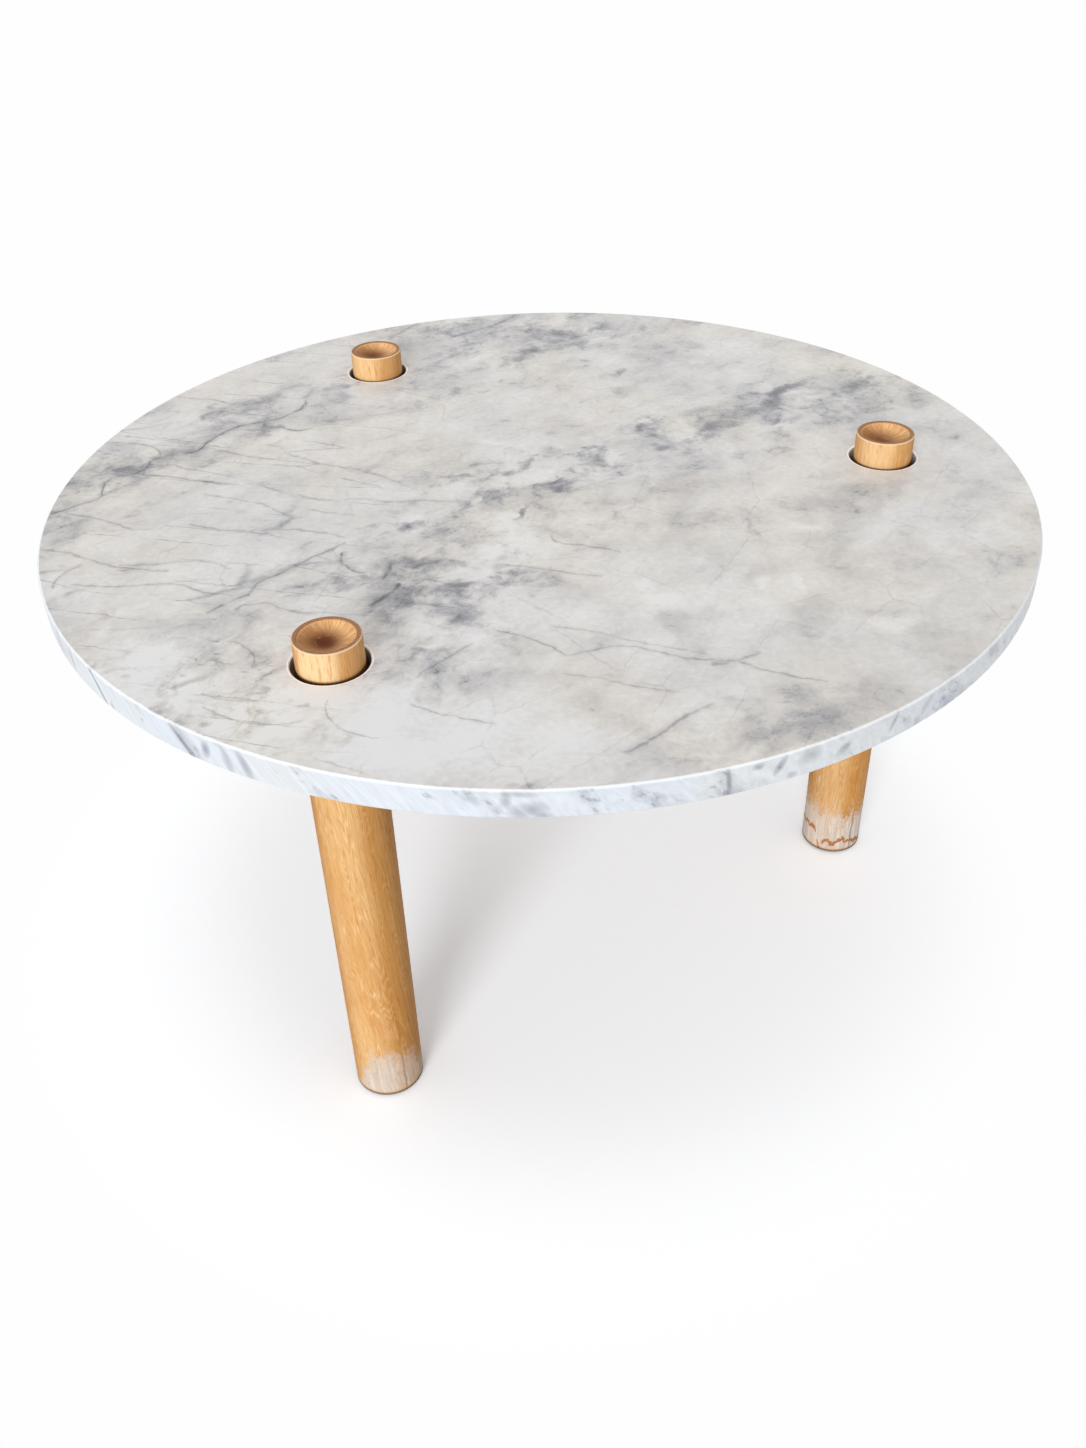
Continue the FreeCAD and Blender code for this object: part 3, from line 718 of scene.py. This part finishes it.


# %% [markdown]
# A foot is painted in layers, as dirt and water laid them down: the chalky wood, the honey patches that
# the bleach missed, a grey drip, and the dried water line. On top of them all, a dark line along the bottom
# edge is a painted contact shadow. Each layer is one Mix node whose factor says where it shows.

# %% The worn foot
def age_foot(wood, place_name, colour, bearing, shaded_flank, z, thread, local):
    """The bleached foot, its feathered edge, its water lines and a painted contact shadow at its bottom edge,
    laid over the oak's colour.
    """
    wear_and_light = WEAR_AND_LIGHT[place_name]
    edge = read_round(wood, bearing, BLEACHED[place_name])
    feather = (thread - 0.5) * 70 + (wood.noise(local * (1.0, 1.0, 0.6), 5, 5, 0.7) - 0.5) * 70
    bleach = wood.fade(z + feather, edge + 13, edge - 11)
    chalk = wood.mix(wood.fade(thread, 0.35, 0.7), tint(208, 190, 174), tint(234, 222, 211))
    mottle = wood.noise(local, 1.6, 3, 0.7)
    chalk = wood.mix(wood.fade(mottle, 0.5, 0.72) * 0.45, chalk, tint(192, 164, 140))
    stain = wood.fade(wood.noise(local * (1.0, 1.0, 0.5), 4, 2, 0.5), 0.6, 0.7)
    chalk = wood.mix(stain * wood.fade(z, edge - 30, edge - 4) * 0.75, chalk, tint(200, 142, 88))
    drip_offset = abs(bearing + (wood.noise(local, 9, 1, 0.5) - 0.5) * 0.02 - wear_and_light["drip"] / 360)
    drip = wood.fade(drip_offset, 0.009, 0.003) * wood.fade(mottle, 0.3, 0.55, 0.5, 0.95)
    chalk = wood.mix(drip, chalk, tint(146, 143, 142))
    chalk = wood.mix(wood.fade(z, 8.5, 5.5) * 0.5, chalk, tint(222, 174, 120))
    # On the flanks the chalk shows less, under the painted shade.
    colour = wood.mix(bleach * wood.fade(shaded_flank, 0, 1, 0.96, wear_and_light["flank_chalk"]), colour, chalk)
    jag = (wood.noise(local, 4.5, 2, 0.6) - 0.5) * 13
    for heights, strengths in WATER_LINES[place_name]:
        distance = abs(z + jag - read_round(wood, bearing, heights))
        line = wood.fade(distance, 3.1, 1.4) * read_round(wood, bearing, strengths) / 100
        dried = wood.mix(wood.fade(mottle, 0.4, 0.6), tint(160, 96, 52), tint(196, 130, 78))
        colour = wood.mix(line * 0.95, colour, dried)
    # A dark line along the bottom edge is a painted contact shadow, where the foot meets the floor.
    return wood.mix(wood.fade(z, 5.2, 4.2) * 0.8, colour, tint(104, 88, 76))


# %% [markdown]
# The neck was sanded last and stays paler, with its dark rays showing, and painted light makes the side
# that faces the lamp paler still. Below the slab's face, down in the hole, it gets painted shade. Its end
# shows end grain, which drinks more oil and goes browner. The dish goes from honey at its lip to dark brown
# in the middle, where oil has pooled and painted shade deepens it, and its near-left wall gets painted
# shade too. Its lips carry painted highlights, and a pale ring at the tool marks is painted as the glint
# that they catch.

# %% The neck and its dish
NECK_RADIUS = 24
DISH_RADIUS = 20.6
TOOL_RING = 8.2


def paint_neck(wood, place_name, colour, shaded_flank, z, local):
    """The sanded neck with painted light on its side facing the lamp, its rays, and painted shade down in the
    hole.
    """
    neck = wood.fade(z, FACE - 4.5, FACE + 1.5)
    # Painted light: the neck is paler still on the side that faces the lamp.
    sanded_and_lit = neck * wood.fade(shaded_flank, 1.0, 0.0, 0.15, WEAR_AND_LIGHT[place_name]["neck"])
    colour = wood.mix(sanded_and_lit, colour, tint(250, 221, 175))
    ray = wood.fade(wood.noise(local * (1.0, 1.0, 0.09), 1.9, 3, 0.6), 0.54, 0.66) * neck
    colour = wood.mix(ray * 0.6, colour, tint(198, 134, 72))
    # Painted shade down in the hole, below the slab's face.
    painted_hole_shade = wood.fade(z, FACE + 0.4, FACE - 2.1) * wood.fade(z, FACE - 28.5, FACE - 4.5)
    return wood.mix(painted_hole_shade * 0.92, colour, tint(86, 46, 18))


def paint_dish(wood, place_name, colour, x, y, z, radius, local):
    """The end grain and the dish with its painted shade and painted highlights, and the ridges that the tool
    left.
    """
    end = wood.fade(z, NECK_TOP - 0.7, NECK_TOP - 0.3)
    spoke = wood.noise(wood.join(x / radius * 24, y / radius * 24, radius * 0.12), 2.0, 3, 0.6)
    speck = wood.noise(local, 0.9, 2, 0.6)
    brown = wood.mix(wood.fade(speck, 0.35, 0.65), tint(174, 128, 92), tint(142, 100, 70))
    colour = wood.mix(end, colour, brown)
    inside = wood.fade(radius, DISH_RADIUS - 0.5, DISH_RADIUS - 0.9)
    dish = inside * wood.fade(z, NECK_TOP - 9, NECK_TOP - 8)
    stain, shade = DISH_OIL_AND_SHADE[place_name]
    off_centre = ((x + 2) * (x + 2) + (y - 1) * (y - 1)) ** 0.5
    # The dark middle is oil stain deepened by painted shade, where the lip shades the bowl.
    oil_and_shade = wood.fade(off_centre + (spoke - 0.5) * 13, 18, 3)
    # Painted shade browns the near-left wall, which faces away from the lamp.
    shaded_side = (x * -0.75 - y * 0.65) / radius
    bowl = wood.mix(wood.fade(spoke, 0.4, 0.58) * 0.7, tint(246, 200, 144), tint(186, 128, 72))
    bowl = wood.mix(wood.fade(shaded_side, -1.5, 0.9) * shade, bowl, tint(150, 90, 40))
    bowl = wood.mix(oil_and_shade * stain, bowl, tint(88, 30, 0))
    # A pale ring at the tool marks, painted as the glint that they catch.
    ring = wood.fade(abs(radius - TOOL_RING), 0.7, 0.2) * wood.fade(spoke, 0.5, 0.6)
    bowl = wood.mix(ring * 0.35, bowl, tint(206, 164, 124))
    # A painted highlight along the dish's inner lip.
    lip_highlight = wood.fade(radius, DISH_RADIUS - 1.7, DISH_RADIUS - 1.1)
    bowl = wood.mix(lip_highlight * 0.6, bowl, tint(214, 170, 126))
    colour = wood.mix(dish, colour, bowl)
    # A painted highlight along the outer arris of the neck's end.
    arris_highlight = wood.fade(radius, NECK_RADIUS - 1.1, NECK_RADIUS - 0.7)
    arris_highlight_line = arris_highlight * wood.fade(z, NECK_TOP - 0.95, NECK_TOP - 0.7)
    return wood.mix(arris_highlight_line * 0.6, colour, tint(250, 224, 184)), spoke * dish


# %% The turned legs
def leg_finish(place_name):
    """The oak of one leg, aged from its foot to its dish."""
    wood = Finish("oak_leg_" + place_name)
    trunk = TRUNKS[place_name]
    wear_and_light = WEAR_AND_LIGHT[place_name]
    local = wood.place - tuple(leg_centre(place_name))
    x, y, z = wood.parts(local)
    moved = local + (0, 0, trunk["shift"])
    colour, thread, pore = grain(wood, moved, trunk["heart"], trunk["lean"], YEAR_RING, trunk["twist"])
    radius = (x * x + y * y) ** 0.5
    turned = wood.node("ShaderNodeMath", {"operation": "ARCTAN2"}, {0: y, 1: x})
    bearing = wood.node("ShaderNodeMath", {"operation": "FRACT"}, {0: turned / math.tau + 1})
    # Painted shade: the flanks that turn away from the window lamp are tinted darker and more saturated.
    window = math.radians(wear_and_light["window"])
    facing = (x * math.cos(window) + y * math.sin(window)) / radius
    shaded_flank = wood.fade(facing, 0.97, 0.66)
    colour = colour * wood.mix(shaded_flank, wear_and_light["tint"], SHADED_FLANK_TINT)
    colour = age_foot(wood, place_name, colour, bearing, shaded_flank, z, thread, moved)
    colour = paint_neck(wood, place_name, colour, shaded_flank, z, moved)
    colour, ridges = paint_dish(wood, place_name, colour, x, y, z, radius, local)
    wood.set(Base_Color=colour, Roughness=0.5 + 0.15 * thread, Specular_IOR_Level=0.14)
    wood.set(Normal=wood.bump(thread * 0.6 - pore + ridges, GRAIN_DEPTH))
    return wood


for place_name in LEG_NAMES:
    finish = leg_finish(place_name)
    dress(nodes["leg_" + place_name], finish)
    print("oak for the leg", place_name, "has", len(finish.tree.nodes), "nodes")

# %% [markdown]
# The frame under the slab is never seen from above, but it is the same oak with a plainer finish. Its
# grain runs along each rail, because a rail cut across the grain would snap, so each rail is drawn in a
# frame that is turned with it. The pegs are riven oak, too small for rings: one fibrous noise is enough.

# %% The frame and its pegs
rail_low, rail_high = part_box("rail_right")
RAIL_MIDDLE = (rail_low.z + rail_high.z) / 2 * MM
FRAME_YEAR_RING = 4.6
PLAIN_TINT = (0.9, 0.86, 0.8)
for name, node in nodes.items():
    if name.startswith(("rail", "hub")) and "peg" not in name:
        wood = Finish("oak_" + name)
        place_name = name.replace("rail_", "")
        turn = leg_turn(place_name) if place_name in LEG_NAMES else 0
        along, aside, up = wood.parts(wood.stretch(wood.place, turn=turn))
        local = wood.join(aside, up - RAIL_MIDDLE, along) if name.startswith("rail") else wood.place
        colour, thread, pore = grain(wood, local, (10, 70), (0.02, 0.03), FRAME_YEAR_RING)
        wood.set(Base_Color=colour * PLAIN_TINT, Roughness=0.55 + 0.15 * thread)
        wood.set(Normal=wood.bump(thread * 0.6 - pore, GRAIN_DEPTH))
        dress(node, wood)
        print(name, "is dressed in oak")
peg_wood = Finish("oak_pegs")
fibre = peg_wood.noise(peg_wood.place, 1.2, 3, 0.6)
peg_colour = peg_wood.mix(peg_wood.fade(fibre, 0.3, 0.7), tint(150, 98, 56), tint(196, 142, 92))
peg_wood.set(Base_Color=peg_colour, Roughness=0.55 + 0.2 * fibre, Normal=peg_wood.bump(fibre, 0.0001))
for name, node in nodes.items():
    if "peg" in name:
        dress(node, peg_wood)

# %% [markdown]
# ## Rubber strips
#
# The slab lies on strips of black rubber let into the rails. Cut rubber is never a plain black: dust sits
# in it and its cut sides are a little rough. Two noises are enough for that.

# %% Rubber
rubber = Finish("black_rubber")
dust = rubber.noise(rubber.place, 6, 4, 0.6)
crumb = rubber.noise(rubber.place, 0.7, 2, 0.6)
rubber_colour = rubber.mix(rubber.fade(dust, 0.4, 0.7), tint(36, 36, 37), tint(62, 60, 57))
rubber.set(Base_Color=rubber_colour, Roughness=0.65 + 0.3 * crumb, Normal=rubber.bump(crumb, 0.0001))
pads = [name for name in nodes if "bearing_pad" in name]
for name in pads:
    dress(nodes[name], rubber)
print("rubber pads:", len(pads))

# %% [markdown]
# ## Felt under the feet
#
# A felt disc is pressed wool: its rim is soft and a little uneven, and its edge bulges under the load. The
# solid model has a plain disc there, so each disc is made again as a turned profile whose radius wavers
# from step to step. The profile is a list of shares of the disc's own radius and thickness.

# %% Felt discs
pad_low, pad_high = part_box("foot_pad_front_left")
FELT_RADIUS = (pad_high.x - pad_low.x) / 2
FELT_THICKNESS = pad_high.z - pad_low.z
FELT_STEPS = 72
FELT_PROFILE = [(0.25, 0.0), (0.6, 0.0), (0.9, 0.0), (0.965, 0.1), (0.99, 0.3), (0.98, 0.55), (0.96, 0.8),
                (0.93, 0.95), (0.85, 1.0), (0.6, 1.0), (0.25, 1.0)]

felt = Finish("pressed_felt")
fluff = felt.noise(felt.place + felt.stray(felt.place, 2, 1.2), 0.8, 4, 0.7)
shade = felt.noise(felt.place, 5, 3, 0.6)
felt_colour = felt.mix(felt.fade(fluff, 0.3, 0.7), tint(70, 62, 54), tint(112, 101, 88))
felt_colour = felt.mix(felt.fade(shade, 0.4, 0.7) * 0.4, felt_colour, tint(88, 76, 64))
felt.set(Base_Color=felt_colour, Roughness=0.85 + 0.15 * fluff, Sheen_Weight=0.3, Sheen_Roughness=0.6)
felt.set(Normal=felt.bump(fluff, 0.0003))


def felt_disc(place_name):
    """One disc, as rings of points joined by faces and closed by a point in the middle of each side."""
    turn = leg_turn(place_name)
    centre = leg_centre(place_name) / MM
    cloth = bmesh.new()
    rings = []
    for radius_share, height_share in FELT_PROFILE:
        ring = []
        for step in range(FELT_STEPS):
            angle = math.tau * step / FELT_STEPS
            waver = 1 + 0.006 * math.sin(5 * angle + turn) + 0.004 * math.sin(13 * angle + 2 * turn)
            reach = FELT_RADIUS * min(radius_share * waver, 1)
            spot = Vector((reach * math.cos(angle), reach * math.sin(angle), FELT_THICKNESS * height_share))
            ring.append(cloth.verts.new(centre + spot))
        rings.append(ring)
    for lower, upper in zip(rings, rings[1:]):
        for step in range(FELT_STEPS):
            after = (step + 1) % FELT_STEPS
            cloth.faces.new((lower[step], lower[after], upper[after], upper[step]))
    for ring, height in ((rings[0], 0), (rings[-1], FELT_THICKNESS)):
        middle = cloth.verts.new(centre + Vector((0, 0, height)))
        for step in range(FELT_STEPS):
            cloth.faces.new((ring[step], ring[(step + 1) % FELT_STEPS], middle))
    bmesh.ops.recalc_face_normals(cloth, faces=cloth.faces)
    mesh = bpy.data.meshes.new("felt_disc_" + place_name)
    cloth.to_mesh(mesh)
    cloth.free()
    mesh.shade_smooth()
    disc = bpy.data.objects.new("felt_disc_" + place_name, mesh)
    bpy.context.scene.collection.objects.link(disc)
    dress(disc, felt)
    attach(disc, "base")
    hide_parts("foot_pad_" + place_name)
    return disc


for place_name in LEG_NAMES:
    disc = felt_disc(place_name)
    print(disc.name, "has", len(disc.data.polygons), "faces")

# %% [markdown]
# ## Floor and light
#
# The table stands on white paper that keeps its soft shadow. One surface can't do all of that, so three
# are mixed. Round the table the camera sees lit paper, whose shadow is real. Further out it sees an even
# white glow. The light's own bounces meet a duller paper, so the white adds no light to the table.

# %% Floor
FLOOR_REACH = 30
SHADOW_SHARE = 0.9
SHADOW_FULL = 260
SHADOW_GONE = 550
corners = [(-FLOOR_REACH, -FLOOR_REACH, 0), (FLOOR_REACH, -FLOOR_REACH, 0),
           (FLOOR_REACH, FLOOR_REACH, 0), (-FLOOR_REACH, FLOOR_REACH, 0)]
floor_mesh = bpy.data.meshes.new("floor")
floor_mesh.from_pydata(corners, [], [(0, 1, 2, 3)])
floor = bpy.data.objects.new("floor", floor_mesh)
bpy.context.scene.collection.objects.link(floor)
paper = Finish("white_paper")
paper.set(Base_Color=(0.6, 0.6, 0.6), Roughness=1.0, Specular_IOR_Level=0.0)


def seen_rays(finish):
    """1 for rays that end in the camera or in a reflection, and 0 for the light's own bounces."""
    camera_ray = finish.node("ShaderNodeLightPath", {}, {}, "Is Camera Ray")
    glossy_ray = finish.node("ShaderNodeLightPath", {}, {}, "Is Glossy Ray")
    clear_ray = finish.node("ShaderNodeLightPath", {}, {}, "Is Transmission Ray")
    return camera_ray + glossy_ray + clear_ray


across, away, _ = paper.parts(paper.place)
radius = (across * across + away * away) ** 0.5
share = paper.fade(radius, SHADOW_FULL, SHADOW_GONE, SHADOW_SHARE, 0)
glow = paper.node("ShaderNodeEmission", {}, {"Color": (1, 1, 1), "Strength": 0.99}, "Emission")
lit = paper.node("ShaderNodeBsdfDiffuse", {}, {"Color": (1.33, 1.37, 1.42)}, "BSDF")
seen = paper.node("ShaderNodeMixShader", {}, {0: share, 1: glow, 2: lit}, "Shader")
plain = Wire(paper, paper.surface.outputs[0])
both = paper.node("ShaderNodeMixShader", {}, {0: seen_rays(paper), 1: plain, 2: seen}, "Shader")
paper.tree.links.new(both.socket, paper.tree.nodes["Material Output"].inputs["Surface"])
dress(floor, paper)
print("the floor reaches", FLOOR_REACH, "m each way")

# %% [markdown]
# The light is a white room. The world gives half of it from all sides, yet shows as plain white behind
# the table, and Light Path tells the two kinds of rays apart. A low, wide sun in front, a little to the
# left, stands for the window and draws the shadow. A softbox overhead fills the dishes.

# %% World and lamps
world = bpy.data.worlds.new("studio")
bpy.context.scene.world = world
world.use_nodes = True
SKY = 0.5
sky_tree = world.node_tree
background = sky_tree.nodes["Background"]
background.inputs["Color"].default_value = (1, 1, 1, 1)
path = sky_tree.nodes.new("ShaderNodeLightPath")
seen_total = path.outputs["Is Camera Ray"]
for kind in ("Is Glossy Ray", "Is Transmission Ray"):
    adder = sky_tree.nodes.new("ShaderNodeMath")
    sky_tree.links.new(seen_total, adder.inputs[0])
    sky_tree.links.new(path.outputs[kind], adder.inputs[1])
    seen_total = adder.outputs[0]
level = sky_tree.nodes.new("ShaderNodeMapRange")
level.inputs["To Min"].default_value = SKY
level.inputs["To Max"].default_value = 1.0
sky_tree.links.new(seen_total, level.inputs["Value"])
sky_tree.links.new(level.outputs[0], background.inputs["Strength"])


def softbox(name, place, target, size, power):
    """A square lamp that faces a point."""
    lamp = bpy.data.objects.new(name, bpy.data.lights.new(name, "AREA"))
    bpy.context.scene.collection.objects.link(lamp)
    lamp.data.shape = "SQUARE"
    lamp.data.size = size
    lamp.data.energy = power
    lamp.location = place
    lamp.rotation_euler = (Vector(target) - Vector(place)).to_track_quat("-Z", "Y").to_euler()


def sun(name, azimuth, elevation, spread, power):
    """A broad, even light from far away; its spread in degrees softens the shadows."""
    turn, rise = math.radians(azimuth), math.radians(elevation)
    toward = Vector((math.cos(turn) * math.cos(rise), math.sin(turn) * math.cos(rise), math.sin(rise)))
    lamp = bpy.data.objects.new(name, bpy.data.lights.new(name, "SUN"))
    bpy.context.scene.collection.objects.link(lamp)
    lamp.data.angle = math.radians(spread)
    lamp.data.energy = power
    lamp.location = toward * 3
    lamp.rotation_euler = (-toward).to_track_quat("-Z", "Y").to_euler()
    # Its mirror image would wash the polished stone out when the table is seen from behind
    lamp.visible_glossy = False


sun("window", azimuth=252, elevation=18, spread=24, power=2.25)
softbox("overhead", place=(-0.3, -0.1, 2.9), target=(0, 0, 0.4), size=1.5, power=15)
